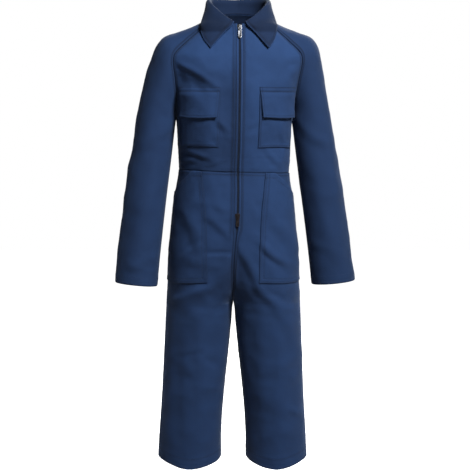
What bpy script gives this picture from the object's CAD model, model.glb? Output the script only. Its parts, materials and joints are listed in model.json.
import json
import math

import bpy
import numpy as np
from mathutils import Matrix, Vector

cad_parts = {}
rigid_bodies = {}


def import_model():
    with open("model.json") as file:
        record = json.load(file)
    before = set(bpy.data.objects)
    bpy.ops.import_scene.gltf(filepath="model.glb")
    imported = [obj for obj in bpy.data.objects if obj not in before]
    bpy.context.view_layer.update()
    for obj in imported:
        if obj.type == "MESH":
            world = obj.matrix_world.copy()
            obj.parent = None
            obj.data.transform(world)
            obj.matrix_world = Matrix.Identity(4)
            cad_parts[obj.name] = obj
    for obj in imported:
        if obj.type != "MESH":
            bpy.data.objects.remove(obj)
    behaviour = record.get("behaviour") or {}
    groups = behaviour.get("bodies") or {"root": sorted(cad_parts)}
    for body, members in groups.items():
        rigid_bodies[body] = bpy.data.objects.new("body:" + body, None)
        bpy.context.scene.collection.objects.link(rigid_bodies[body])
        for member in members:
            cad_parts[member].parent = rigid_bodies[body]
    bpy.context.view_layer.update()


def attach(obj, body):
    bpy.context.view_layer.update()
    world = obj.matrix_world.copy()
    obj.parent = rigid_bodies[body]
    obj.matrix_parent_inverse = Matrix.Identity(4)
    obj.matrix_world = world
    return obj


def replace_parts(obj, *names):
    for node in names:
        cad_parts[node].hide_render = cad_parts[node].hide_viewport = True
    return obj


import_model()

# Camera. It stands at chest height 4 m in front and looks a little down, so that the far
# side of the neck shows and the hems bow down as in the photograph.
lens = bpy.data.cameras.new("camera")
lens.sensor_width = 36.0
lens.lens = 141.4
camera = bpy.data.objects.new("camera", lens)
camera.location = (0.0022, -4.04, -0.181)
camera.rotation_euler = (math.radians(90 - 3.92), 0.0, 0.0)
bpy.context.scene.collection.objects.link(camera)
bpy.context.scene.camera = camera
bpy.context.scene.view_settings.view_transform = "Standard"

# Studio. A lamp high on the viewer's right lights the chest most, a large weak one fills
# from the front, two more from the sides, and one lights the back, over a plain white floor.
MIDDLE = Vector((0, 0, -0.4))
FLOOR_SIZE = 14.0
FLOOR_HEIGHT = -1.03


def feed(finish, node, inputs):
    """Set a shader node's inputs, each to a value or to the output that feeds it."""
    for name, value in inputs.items():
        if isinstance(value, bpy.types.NodeSocket):
            finish.node_tree.links.new(value, node.inputs[name])
        else:
            node.inputs[name].default_value = value


def surface_of(finish):
    """A material's own surface node."""
    return finish.node_tree.nodes["Principled BSDF"]


def new_finish(name, inputs):
    """A material with these inputs on its surface."""
    finish = bpy.data.materials.new(name)
    finish.use_nodes = True
    feed(finish, surface_of(finish), inputs)
    return finish


for name, place, size, power in (("key_light", (0.95, -1.6, 1.35), 0.7, 148.0),
                                 ("front_fill", (-0.3, -3.4, -0.5), 2.2, 13.0),
                                 ("left_fill", (2.6, -0.5, 0.2), 1.6, 2.5),
                                 ("right_fill", (-2.6, -0.5, 0.2), 1.6, 7.0),
                                 ("back_light", (0.7, 2.2, 1.1), 1.4, 100.0)):
    lamp = bpy.data.lights.new(name, "AREA")
    lamp.shape = "SQUARE"
    lamp.size = size
    lamp.energy = power
    stand = bpy.data.objects.new(name, lamp)
    stand.location = place
    stand.rotation_euler = (MIDDLE - Vector(place)).to_track_quat("-Z", "Y").to_euler()
    bpy.context.scene.collection.objects.link(stand)
world = bpy.data.worlds.new("studio")
bpy.context.scene.world = world
world.use_nodes = True
world.node_tree.nodes["Background"].inputs["Color"].default_value = (1.0, 1.0, 1.0, 1.0)
world.node_tree.nodes["Background"].inputs["Strength"].default_value = 1.0
world.cycles_visibility.diffuse = False
world.cycles_visibility.glossy = False
bpy.ops.object.select_all(action="DESELECT")
bpy.ops.mesh.primitive_plane_add(size=FLOOR_SIZE, location=(0.0, 0.0, FLOOR_HEIGHT))
floor = bpy.context.active_object
floor.name = "floor"
bpy.ops.object.transform_apply(location=True, rotation=True, scale=True)
floor.data.materials.append(new_finish("pale_floor", {
    "Base Color": (0.9, 0.9, 0.9, 1.0), "Roughness": 0.95,
    "Emission Color": (1.0, 1.0, 1.0, 1.0), "Emission Strength": 1.05}))
floor.visible_diffuse = False

# Front bodices. Two cut pieces of navy twill from the neck to the waist seam, joined to
# the sleeves by raglan seams and to each other by the zip. Their allowances are turned
# back and topstitched, which leaves a raised edge and a fine furrow beside each seam.
MM = 0.001
SIDES = ((1, "left"), (-1, "right"))
ROW_STEPS = 160
CLOTH_WALL = 1.0
SEAM_SHARE = 0.05
CROTCH_SHARE = 0.01
EDGE_STITCH = 6.0
SEAM_STITCH = 5.0
SECOND_ZIP_STITCH = {"left": 9.4, "right": 12.0}


class Sections:
    """A short table of sections, one row each, read smoothly between its rows."""

    def __init__(self, columns, rows):
        self.keys = [row[0] for row in rows]
        self.columns = {name: [row[place] for row in rows] for place, name in enumerate(columns)}

    def slope(self, values, place):
        """The slope at a row, from the rows on both sides of it."""
        before, after = max(place - 1, 0), min(place + 1, len(self.keys) - 1)
        return (values[after] - values[before]) / (self.keys[after] - self.keys[before])

    def read(self, name, at):
        """A column's value at a key."""
        keys, values = self.keys, self.columns[name]
        if at <= keys[0]:
            return values[0]
        if at >= keys[-1]:
            return values[-1]
        low = max(place for place in range(len(keys) - 1) if keys[place] <= at)
        span = keys[low + 1] - keys[low]
        share = (at - keys[low]) / span
        curve = (values[low + 1] - values[low]) * share * share * (3 - 2 * share)
        curve += self.slope(values, low) * span * share * (1 - share) ** 2
        curve -= self.slope(values, low + 1) * span * share * share * (1 - share)
        return values[low] + curve


RAGLAN_COLUMNS = ("level", "seam_x", "seam_drop", "seam_angle", "depth",
                  "centre_y", "centre_drop", "square")
RAGLAN = {
    "front": Sections(RAGLAN_COLUMNS, (
        (0.00, 58.0, -11, 56, 36, 68, 0, 2.1),
        (0.14, 81.0, 11, 62, 45, 77, 20, 2.2),
        (0.30, 111.0, 38, 72, 54, 86, 43, 2.3),
        (0.45, 136.0, 64, 86, 59, 93, 66, 2.4),
        (0.55, 139.0, 86, 102, 59, 97, 87, 2.45),
        (0.70, 134.0, 119, 118, 57, 101, 119, 2.5),
        (0.85, 129.5, 158, 140, 54, 103, 158, 2.5),
        (1.00, 127.0, 200, 180, 51, 103, 200, 2.5))),
    "back": Sections(RAGLAN_COLUMNS, (
        (0.00, 56.0, -18, 57, 38, 52, -26, 2.1),
        (0.14, 79.0, 4, 64, 46, 63, -2, 2.2),
        (0.30, 107.0, 31, 74, 56, 74, 25, 2.3),
        (0.45, 131.0, 59, 88, 62, 83, 53, 2.35),
        (0.55, 135.0, 83, 102, 62, 89, 79, 2.4),
        (0.70, 131.5, 118, 118, 59, 94, 116, 2.45),
        (0.85, 128.5, 158, 140, 55, 97, 157, 2.5),
        (1.00, 127.0, 200, 180, 51, 97, 200, 2.5))),
}
BODICE = Sections(("drop", "half_width", "front", "back", "square"), (
    (200, 127.0, 103.0, 97.0, 2.5),
    (215, 125.0, 103.0, 96.5, 2.5),
    (251, 123.0, 100.5, 94.0, 2.45),
    (295, 121.0, 95.0, 89.0, 2.4),
    (317, 120.0, 92.0, 87.5, 2.35)))
FRONT_EDGE = Sections(("drop", "slot", "drift"), (
    (-2, 4.5, 0.0),
    (18, 1.6, 0.0),
    (60, 1.6, 0.0),
    (200, 1.6, 0.0),
    (265, 1.6, 1.0),
    (317, 1.6, 3.0),
    (360, 1.6, 5.5),
    (420, 1.6, 7.0),
    (438, 1.6, 6.5),
    (455, 0.01, 5.5),
    (500, 0.01, 2.5),
    (545, 0.01, 0.0),
    (700, 0.01, 0.0)))
SETTLE = Sections(("drop", "turn", "lean", "tilt"), (
    (-60, 3.0, 10.0, 0.0),
    (0, 3.0, 8.5, 0.0),
    (40, 5.0, 5.0, 0.0),
    (100, 6.5, 1.5, 0.0),
    (200, 6.5, 0.0, 0.0),
    (265, 5.5, 0.0, -0.015),
    (317, 3.5, 0.0, -0.030),
    (400, 1.5, -1.0, 0.0),
    (500, 0.0, -1.5, 0.0),
    (960, 0.0, -1.5, 0.0)))
SETTLE_DROPS = np.arange(-80.0, 1000.0, 1.0)
SETTLE_VALUES = {name: np.array([SETTLE.read(name, drop) for drop in SETTLE_DROPS])
                 for name in ("turn", "lean", "tilt")}
BELOW_HEM = 1000.0


def settle(points, side, lowest=BELOW_HEM):
    """Mirror millimetre points for their side, turn and lean them as they hang, in metres."""
    drop = np.minimum(-points[..., 2], lowest)
    turn, lean, tilt = (np.interp(drop, SETTLE_DROPS, SETTLE_VALUES[name])
                        for name in ("turn", "lean", "tilt"))
    turn = np.radians(turn)
    x, y = points[..., 0] * side, points[..., 1]
    return np.stack((x * np.cos(turn) - y * np.sin(turn) + lean,
                     x * np.sin(turn) + y * np.cos(turn), points[..., 2] + tilt * x), axis=-1) * MM


def raglan_seam(face, level):
    """A point of a raglan seam."""
    table = RAGLAN[face]
    y = table.read("depth", level) * math.sin(math.radians(table.read("seam_angle", level)))
    return table.read("seam_x", level), -y if face == "front" else y, -table.read("seam_drop", level)


def squared(value, square):
    """A sine or cosine bent towards a square's, for sections between an ellipse and a box."""
    return np.sign(value) * np.abs(value) ** (2 / square)


def bodice_row(face, level, side):
    """Half a bodice row from its centre line. A level above 1 is a drop."""
    sign = -1 if face == "front" else 1
    if level <= 1:
        seam_x, seam_y, seam_z = raglan_seam(face, level)
        centre_y = sign * RAGLAN[face].read("centre_y", level)
        centre_z = -RAGLAN[face].read("centre_drop", level)
        square = RAGLAN[face].read("square", level)
    else:
        seam_x, seam_y, seam_z = BODICE.read("half_width", level), 0.0, -level
        centre_y, centre_z = sign * BODICE.read(face, level), -level
        square = BODICE.read("square", level)
    last = math.acos((abs(seam_y) / abs(centre_y)) ** (square / 2))
    width = seam_x / math.sin(last) ** (2 / square)
    start_x = 0.0
    if face == "front":
        start_x = max(FRONT_EDGE.read("slot", -centre_z), SEAM_SHARE)
        start_x += side * FRONT_EDGE.read("drift", -centre_z)
    first = math.copysign(math.asin((abs(start_x) / width) ** (square / 2)), start_x)
    angle = np.linspace(first, last, ROW_STEPS)
    x = width * squared(np.sin(angle), square)
    y = centre_y * np.abs(np.cos(angle)) ** (2 / square)
    return np.stack((x, y, centre_z + (seam_z - centre_z) * (x / seam_x) ** 2), axis=1)


def run_along(row):
    """The distance of each point along its row."""
    return np.concatenate(([0.0], np.cumsum(np.linalg.norm(np.diff(row, axis=0), axis=1))))


def spots_along(row, distances):
    """The points at distances along a row."""
    run = run_along(row)
    return np.stack([np.interp(distances, run, row[:, axis]) for axis in range(3)], axis=1)


NEAR_SEAM = np.array((0.0, 0.5, 1.1, 1.8, 2.8, 4.0, 5.0, 5.8, 6.6, 7.6, 9.2, 11.5))


def spread(rows, middle, starts=SEAM_SHARE):
    """Each row as a grid's row of points, close together beside the seams at both ends, and
    the distance of each point along it."""
    distances = []
    for row, start in zip(rows, np.broadcast_to(starts, len(rows))):
        first = start + NEAR_SEAM
        last = run_along(row)[-1] - SEAM_SHARE - NEAR_SEAM[::-1]
        between = np.linspace(first[-1], last[0], middle + 2)[1:-1]
        distances.append(np.concatenate((first, between, last)))
    return np.array([spots_along(row, at) for row, at in zip(rows, distances)]), np.array(distances)


def smooth(value, start, end):
    """0 before start, 1 after end, and smooth between."""
    share = np.clip((value - start) / (end - start), 0.0, 1.0)
    return share * share * (3 - 2 * share)


def peak(value, at, width):
    """1 at a place, falling off smoothly over a width on both sides."""
    return np.exp(-((value - at) / width) ** 2)


def unit(vectors):
    """Vectors made one long."""
    return vectors / np.linalg.norm(vectors, axis=-1, keepdims=True)


def square_to(vectors, normals):
    """The parts of vectors that are square to the normals, made one long."""
    return unit(vectors - normals * (vectors * normals).sum(axis=1, keepdims=True))


def outwards(points, sign):
    """The outward direction at each point of a grid."""
    return unit(np.cross(np.gradient(points, axis=0), np.gradient(points, axis=1)) * sign)


def creases(table, x, drop):
    """How far soft folds raise the cloth. Each is a ridge with a trough along one side, from
    one x and drop to another, with its half width, its lift and how far it bows."""
    height = np.zeros_like(x)
    for x0, drop0, x1, drop1, half_width, lift, bow in table:
        length = math.hypot(x1 - x0, drop1 - drop0)
        ux, ud = (x1 - x0) / length, (drop1 - drop0) / length
        share = ((x - x0) * ux + (drop - drop0) * ud) / length
        inside = np.clip(share, 0, 1)
        sideways = (drop - drop0) * ux - (x - x0) * ud - bow * 4 * inside * (1 - inside)
        beyond = (share - inside) * length
        swell = 0.35 + 0.65 * np.sin(np.pi * np.clip(0.15 + 0.75 * inside, 0, 1))
        off = np.sqrt(sideways ** 2 + beyond ** 2 + 0.09 * half_width ** 2) - 0.3 * half_width
        ridge = np.exp(-(off / half_width) ** 1.35)
        trough = np.exp(-((sideways - 1.5 * half_width) ** 2 + beyond ** 2) / half_width ** 2)
        height += lift * swell * (ridge - 0.55 * trough)
    return height


CYCLE = 6.28


def unevenness(x, drop, seed, amount=1.0):
    """Slight swells and dents that no cloth is without."""
    draw = np.random.default_rng(seed)
    height = np.zeros_like(x)
    for wavelength, size in ((150, 0.9), (95, 0.7), (62, 0.45), (41, 0.28), (27, 0.16), (18, 0.09)):
        for turn in draw.uniform(0, math.pi, 2):
            phase = draw.uniform(0, 2 * math.pi)
            wander = 1.1 * np.sin((x * math.sin(turn) - drop * math.cos(turn)) / (1.7 * wavelength) * CYCLE)
            along = (x * math.cos(turn) + drop * math.sin(turn)) / wavelength * CYCLE
            wave = np.sin(along + phase + wander)
            if wavelength < 70:
                wave = 1.1 - 2.2 * np.sqrt(np.sin((along + phase) / 2 + wander) ** 2 + 0.02)
            height += size * 0.5 * wave
    return height * amount


def sewn_edge(from_edge, along, stitch=EDGE_STITCH, allowance=0.55, pucker=0.16):
    """The relief beside a seam: a raised allowance, the furrow of its stitching, puckers."""
    raised = allowance * (1 - smooth(from_edge, stitch + 0.8, stitch + 3.6))
    waves = np.sin(along / 7.3 * CYCLE + 1.5 * np.sin(along / 31.0 * CYCLE))
    waves += 0.6 * np.sin(along / 11.9 * CYCLE + 2.0 * np.sin(along / 47.0 * CYCLE))
    puckers = pucker * waves * peak(from_edge, stitch, 7.0) * smooth(from_edge, 0.0, 1.5)
    return raised - 0.75 * peak(from_edge, 0, 0.9) - 0.42 * peak(from_edge, stitch, 0.9) + puckers


def rubbed(from_edge, stitch=EDGE_STITCH, amount=1.0):
    """How a seam wears: paler on the raised allowance, darker in its furrows."""
    pale = 0.18 * peak(from_edge, 0.5 * stitch, 0.25 * stitch)
    return amount * (pale - 0.85 * peak(from_edge, stitch, 1.5) - 0.95 * peak(from_edge, 0, 2.3))


class Cloth:
    """A cut piece of cloth as it hangs: its outer face as a grid, in metres."""

    def __init__(self, rows, distances, side, outward, lowest=BELOW_HEM):
        self.base = rows
        self.places = self.distances = distances
        self.side = side
        self.outward = outward
        self.lowest = lowest
        self.down = run_along(rows[:, rows.shape[1] // 2])
        self.length = distances[:, -1:]
        self.below = np.broadcast_to(self.down[:, None], distances.shape)
        self.first = 0
        self.raise_by(np.zeros_like(distances))

    def raise_by(self, height):
        """Raise the outer face from its base by a height at each point."""
        raised = self.base + outwards(self.base, self.outward) * height[..., None]
        self.points = settle(raised, self.side, self.lowest)
        self.normals = outwards(self.points, self.outward * self.side)

    def turn_in(self, start=True, depth=5.0):
        """Turn the side edges inwards, as the allowances that are sewn together there."""
        path = ((0.02, 0.2), (0.04, 0.6), (0.045, depth / 2), (0.045, depth))
        for edge, inside in ((0, 4), (-1, -5)) if start else ((-1, -5),):
            normal = self.normals[:, inside]
            outside = square_to(self.points[:, edge] - self.points[:, inside], normal)
            strips = ([self.points[:, edge] + (outside * out - normal * into) * MM for out, into in path],
                      [normal] * len(path),
                      [self.distances[:, edge] + (into if edge else -into) for _, into in path])
            for name, strip in zip(("points", "normals", "distances"), strips):
                kept = getattr(self, name)
                pair = (kept, np.stack(strip, axis=1)) if edge else (np.stack(strip[::-1], axis=1), kept)
                setattr(self, name, np.concatenate(pair, axis=1))
            self.first += 0 if edge else len(path)

    def turn_up(self, depth):
        """Turn the last row inwards and up, as a hem."""
        above = int(np.searchsorted(self.down, self.down[-1] - 14.0))
        down = unit(self.points[-1] - self.points[above])
        normal = square_to(self.normals[above], down)
        path = [(-0.35, 0.75), (-1.0, 1.05), (-1.7, 0.75), (-2.1, 0.0)]
        path += [(-2.15, -depth * part) for part in (0.25, 0.5, 0.75, 1.0)]
        rows = [self.points[-1] + normal * (out * MM) + down * (along * MM) for out, along in path]
        self.points = np.concatenate((self.points, rows))
        self.normals = np.concatenate((self.normals, [normal] * len(path)))
        self.distances = np.concatenate((self.distances, [self.distances[-1]] * len(path)))
        self.length = np.concatenate((self.length, [self.length[-1]] * len(path)))
        self.down = np.concatenate((self.down, self.down[-1] + np.linspace(0.8, depth + 3, len(path))))

    def spot(self, row, distance, lift=0.08):
        """A point just over the outer face, and the outward direction there."""
        low = int(min(max(math.floor(row), 0), len(self.points) - 2))
        found = []
        for grid in (self.points, self.normals):
            ends = [np.array([np.interp(distance, self.distances[place], grid[place][:, axis])
                              for axis in range(3)]) for place in (low, low + 1)]
            found.append(ends[0] * (1 - (row - low)) + ends[1] * (row - low))
        normal = unit(found[1])
        return found[0] + normal * (lift * MM), normal

    def line_down(self, start, end, distance, from_far=False):
        """A line of stitching down the piece, at a distance from one of its side edges."""
        line = []
        for row in np.linspace(*np.interp((start, end), self.down, np.arange(len(self.down))),
                               max(int((end - start) / 4), 2)):
            length = float(np.interp(row, np.arange(len(self.length)), self.length[:, 0]))
            line.append(self.spot(row, length - distance if from_far else distance))
        return line

    def line_across(self, down):
        """A line of stitching across the piece, at a distance down it."""
        row = float(np.interp(down, self.down, np.arange(len(self.down))))
        length = float(np.interp(row, np.arange(len(self.length)), self.length[:, 0]))
        return [self.spot(row, place) for place in np.arange(3.0, length - 3.0, 4.0)]


def wire(finish, kind, inputs, **settings):
    """Add a shader node with its settings and inputs."""
    node = finish.node_tree.nodes.new("ShaderNode" + kind)
    for name, value in settings.items():
        setattr(node, name, value)
    feed(finish, node, inputs)
    return node


def blend(finish, share, first, second, mode="MIX"):
    """Mix two colours, by an output from 0 to 1. The first one may be an output too."""
    first = first if isinstance(first, bpy.types.NodeSocket) else (*first, 1.0)
    return wire(finish, "Mix", {"Factor": share, "A": first, "B": (*second, 1.0)},
                data_type="RGBA", blend_type=mode).outputs["Result"]


def twill(name, colour, lean):
    """Cotton twill: fine diagonal ribs, a slight mottle, pale worn ridges, dark furrows."""
    finish = new_finish(name, {"Roughness": 0.88, "Specular IOR Level": 0.12, "Sheen Weight": 0.05,
                               "Sheen Roughness": 0.45, "Sheen Tint": (0.55, 0.68, 0.9, 1.0)})
    place = wire(finish, "TexCoord", {}).outputs
    turned = wire(finish, "Mapping", {"Vector": place["UV"], "Rotation": (0.0, 0.0, math.radians(lean))})
    ribs = wire(finish, "TexWave", {"Vector": turned.outputs["Vector"], "Scale": 350.0, "Distortion": 1.2,
                                    "Detail": 1.0, "Detail Scale": 2.0},
                wave_type="BANDS", bands_direction="X")
    threads = wire(finish, "TexNoise", {"Vector": place["UV"], "Scale": 900.0, "Detail": 2.0})
    patches = wire(finish, "TexNoise", {"Vector": place["Object"], "Scale": 28.0, "Detail": 5.0,
                                        "Roughness": 0.6})
    tone = blend(finish, patches.outputs["Fac"], [value * 0.84 for value in colour],
                 [value * 1.16 for value in colour])
    valleys = wire(finish, "Math", {0: ribs.outputs["Fac"], 1: 0.55}, operation="MULTIPLY")
    tone = blend(finish, valleys.outputs["Value"], tone, (0.70, 0.72, 0.78), mode="MULTIPLY")
    worn = wire(finish, "Attribute", {}, attribute_name="worn").outputs["Fac"]
    tone = blend(finish, worn, tone, [value * 2.1 for value in colour])
    furrows = wire(finish, "Math", {0: worn, 1: -1.0}, operation="MULTIPLY", use_clamp=True)
    tone = blend(finish, furrows.outputs["Value"], tone, [value * 0.3 for value in colour])
    relief = wire(finish, "Math", {0: threads.outputs["Fac"], 1: 0.5, 2: ribs.outputs["Fac"]},
                  operation="MULTIPLY_ADD")
    bump = wire(finish, "Bump", {"Strength": 0.55, "Distance": 0.00018, "Height": relief.outputs["Value"]})
    feed(finish, surface_of(finish), {"Base Color": tone, "Normal": bump.outputs["Normal"]})
    return finish


NAVY_TWILL = (twill("navy_twill", (0.0096, 0.0266, 0.076), 62),
              twill("navy_twill_reverse", (0.0045, 0.0118, 0.0335), -62))


def pick(piece):
    """Select one object alone and work on it."""
    bpy.ops.object.select_all(action="DESELECT")
    piece.select_set(True)
    bpy.context.view_layer.objects.active = piece


def soften(piece, width, segments=3, angle=35):
    """Round a piece's sharp edges."""
    pick(piece)
    rounding = piece.modifiers.new("soft_edges", "BEVEL")
    rounding.width = width * MM
    rounding.segments = segments
    rounding.limit_method = "ANGLE"
    rounding.angle_limit = math.radians(angle)
    rounding.use_clamp_overlap = True
    bpy.ops.object.modifier_apply(modifier="soft_edges")


def hang_grid(node, points, flip, across, down, wall, worn=None, finishes=NAVY_TWILL):
    """Make the sheet that stands for a CAD node: a grid of points as a wall of cloth with
    soft edges. Its UVs are the distances across and down its cut, in metres."""
    rows, columns = points.shape[:2]
    number = np.arange(rows * columns).reshape(rows, columns)
    corners = (number[:-1, :-1], number[1:, :-1], number[1:, 1:], number[:-1, 1:])
    faces = np.stack([corner.ravel() for corner in corners], axis=1)
    if flip:
        faces = faces[:, ::-1]
    mesh = bpy.data.meshes.new(node + "_cloth")
    mesh.from_pydata(points.reshape(-1, 3).tolist(), [], faces.tolist())
    uv = np.stack((across, np.broadcast_to(-down, across.shape)), axis=-1) * MM
    layer = mesh.uv_layers.new(name="cloth")
    layer.data.foreach_set("uv", uv.reshape(-1, 2)[faces.ravel()].ravel().astype(np.float32))
    if worn is not None:
        fade = mesh.attributes.new("worn", "FLOAT", "POINT")
        fade.data.foreach_set("value", worn.ravel().astype(np.float32))
    mesh.shade_smooth()
    for finish in finishes:
        mesh.materials.append(finish)
    piece = bpy.data.objects.new(node + "_cloth", mesh)
    bpy.context.scene.collection.objects.link(piece)
    pick(piece)
    thickness = piece.modifiers.new("wall", "SOLIDIFY")
    thickness.thickness = wall * MM
    thickness.offset = -1.0
    thickness.material_offset = 1
    bpy.ops.object.modifier_apply(modifier="wall")
    soften(piece, 0.28, segments=2, angle=70)
    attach(piece, "garment")
    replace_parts(piece, node)


def hang(cloth, node, worn, wall=CLOTH_WALL):
    """Make the sheet of a cloth piece, its wear given over the part that shows."""
    missing = cloth.points.shape[1] - worn.shape[1]
    worn = np.pad(worn, ((0, len(cloth.points) - len(worn)), (cloth.first, missing - cloth.first)), "edge")
    hang_grid(node, cloth.points, cloth.outward * cloth.side < 0, cloth.distances, cloth.down[:, None],
              wall, worn)


def mottled(name, scale, detail, dark, light, inputs):
    """A finish whose tone drifts between two colours, and the noise that moves it."""
    finish = new_finish(name, inputs)
    place = wire(finish, "TexCoord", {}).outputs["Object"]
    noise = wire(finish, "TexNoise", {"Vector": place, "Scale": scale, "Detail": detail}).outputs["Fac"]
    feed(finish, surface_of(finish), {"Base Color": blend(finish, noise, dark, light)})
    return finish, noise


STITCH_PITCH = 3.2
STITCH_LENGTH = 2.5
STITCH_RADIUS = 0.24
thread_finish, _ = mottled("navy_thread", 700.0, 2.0, (0.0075, 0.019, 0.054), (0.0125, 0.031, 0.086),
                           {"Roughness": 0.75, "Specular IOR Level": 0.2})


def ringed(rings):
    """A small closed form along x, from six-sided rings: their x, their two radii and how far
    each is raised. Gives its corners and its faces."""
    corners = [(x, math.cos(turn * math.pi / 3) * wide, math.sin(turn * math.pi / 3) * high + rise)
               for x, wide, high, rise in rings for turn in range(6)]
    faces = [[ring * 6 + turn, ring * 6 + (turn + 1) % 6, ring * 6 + 6 + (turn + 1) % 6, ring * 6 + 6 + turn]
             for ring in range(len(rings) - 1) for turn in range(6)]
    return np.array(corners), faces + [[5, 4, 3, 2, 1, 0], list(range(len(corners) - 6, len(corners)))]


def add_forms(name, forms, finish):
    """Add one piece made of many small closed forms, each given as corners and faces."""
    vertices, faces = [], []
    for corners, sides in forms:
        faces.extend([[len(vertices) + corner for corner in face] for face in sides])
        vertices.extend(corners.tolist())
    mesh = bpy.data.meshes.new(name)
    mesh.from_pydata(vertices, [], faces)
    mesh.shade_smooth()
    mesh.materials.append(finish)
    piece = bpy.data.objects.new(name, mesh)
    bpy.context.scene.collection.objects.link(piece)
    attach(piece, "garment")
    return piece


STITCH, STITCH_FACES = ringed([(x * STITCH_LENGTH, radius * STITCH_RADIUS, radius * STITCH_RADIUS, rise)
                               for x, radius, rise in ((-0.5, 0.45, -0.28), (-0.25, 0.9, -0.02),
                                                       (0.25, 0.9, -0.02), (0.5, 0.45, -0.28))])


def sew(node, lines):
    """Lay stitches along lines of (point, outward direction) pairs on a node's cloth."""
    forms = []
    half = STITCH_LENGTH / 2 * MM
    for line in lines:
        points, normals = (np.array(part) for part in zip(*line))
        run = run_along(points)
        centres = np.arange(STITCH_PITCH / 2 * MM, run[-1], STITCH_PITCH * MM)
        if not len(centres):
            continue
        here = spots_along(points, centres)
        tangent = unit(spots_along(points, np.minimum(centres + half, run[-1]))
                       - spots_along(points, np.maximum(centres - half, 0)))
        out = np.stack([np.interp(centres, run, normals[:, axis]) for axis in range(3)], axis=1)
        out = square_to(out, tangent)
        stitches = here[:, None] + MM * (tangent[:, None] * STITCH[None, :, :1]
                                         + np.cross(out, tangent)[:, None] * STITCH[None, :, 1:2]
                                         + out[:, None] * STITCH[None, :, 2:3])
        forms.extend((corners, STITCH_FACES) for corners in stitches)
    add_forms(node + "_stitching", forms, thread_finish)


BODICE_LEVELS = np.concatenate((np.linspace(0, 1, 58), np.arange(203.0, 306.0, 3.5),
                                (306.5, 308, 309.5, 311, 312.2, 313.2, 314.2, 315.2, 316.1, 316.6, 316.97)))
FRONT_CREASES = (
    (-146, 78, -50, 134, 6, 3.6, -4), (-134, 58, -60, 100, 18, 2.0, -4), (-138, 116, -82, 143, 13, -5.6, -3),
    (-139, 84, -120, 190, 9, -3.4, 3), (-34, 112, -32, 280, 20, -3.6, 2), (26, 70, 24, 290, 20, 2.4, -3),
    (-104, 118, -78, 140, 8, -1.6, 0), (132, 92, 100, 128, 10, 2.6, 4), (138, 74, 84, 90, 13, 1.8, 4),
    (-48, 200, -20, 229, 6, 2.2, 2), (-40, 214, -22, 246, 6, 1.8, -2), (14, 220, 38, 208, 7, 1.2, 2),
    (90, 214, 106, 256, 6, 1.9, 3), (22, 150, 40, 205, 10, 0.8, 3), (-110, 271, -62, 288, 5, 3.0, 2),
    (-122, 300, -92, 295, 5, 2.4, -1), (-62, 304, -30, 290, 5, 1.2, 1), (60, 266, 92, 298, 5, 2.4, 2),
    (104, 262, 96, 292, 5, 1.6, 0), (-54, 416, -8, 457, 8, 2.8, -3), (-44, 384, -20, 400, 7, 1.3, 2),
    (-105, 404, -72, 474, 12, 1.6, -5), (60, 352, 84, 420, 12, 1.4, 5), (94, 434, 132, 486, 11, 2.4, -4),
    (56, 465, 112, 514, 7, 4.2, 4), (-62, 491, -5, 490, 4, -2.6, -1), (-96, 500, -40, 520, 10, 1.4, 3),
    (14, 483, 56, 566, 9, 5.0, -3), (56, 566, 104, 628, 10, 3.8, -4), (6, 520, 30, 600, 9, -2.6, 3),
    (-8, 500, -52, 566, 10, 4.6, -3), (-16, 540, -34, 640, 14, 3.0, -3), (-54, 566, -136, 603, 9, 3.6, 4),
    (-44, 600, -112, 650, 13, 2.2, -4), (66, 566, 134, 604, 9, -2.8, 4), (104, 628, 138, 700, 12, 2.4, -5),
    (42, 590, 46, 930, 13, -2.6, 4), (-120, 710, -72, 696, 5, 1.3, 2), (-64, 712, -34, 742, 8, -2.2, 2),
    (-132, 724, -70, 748, 13, 1.5, 5), (-60, 770, -140, 806, 15, 1.2, -5), (62, 752, 138, 716, 13, 1.6, 5),
    (52, 800, 130, 842, 15, 1.2, 4), (118, 826, 146, 848, 6, 2.2, 2), (-117, 630, -119, 930, 12, -3.2, 4),
    (-72, 640, -70, 935, 14, 3.0, -5), (100, 660, 104, 935, 14, 2.8, -5),
)

front_cloth = {}
for side, name in SIDES:
    rows, distances = spread([bodice_row("front", level, side) for level in BODICE_LEVELS], 24, starts=0.0)
    bodice = Cloth(rows, distances, side, 1)
    near, far, below = bodice.distances, bodice.length - bodice.distances, bodice.below
    to_waist = bodice.down[-1] - below
    x, drop = bodice.base[..., 0] * side, -bodice.base[..., 2]
    height = creases(FRONT_CREASES, x, drop) * smooth(near, 2, 18) * smooth(far, 0, 20)
    height += unevenness(x, drop, 11, 1.4) * smooth(near, 2, 20) * smooth(far, 0, 20)
    height += sewn_edge(near, below, allowance=0.7) + sewn_edge(far, below, SEAM_STITCH, 0.3)
    height += sewn_edge(to_waist, near, stitch=30.0, allowance=0.0)
    bodice.raise_by(height)
    worn = rubbed(near) + rubbed(far, SEAM_STITCH) + 0.16 * peak(near, 0, 3.5)
    worn -= 0.75 * peak(near, SECOND_ZIP_STITCH[name], 1.3) + 0.5 * peak(to_waist, 0, 1.1)
    worn += 0.10 if side > 0 else 0.16 - 0.40 * smooth(drop, 80, 150)
    front_cloth[name] = bodice
    bodice.turn_in(start=False)
    hang(bodice, "front_bodice_" + name, worn)
    bottom = bodice.down[-1]
    sew("front_bodice_" + name, [bodice.line_down(8, bottom - 1, EDGE_STITCH),
                                 bodice.line_down(8, bottom - 1, SECOND_ZIP_STITCH[name]),
                                 bodice.line_down(34, bottom - 120, SEAM_STITCH, from_far=True)])

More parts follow.
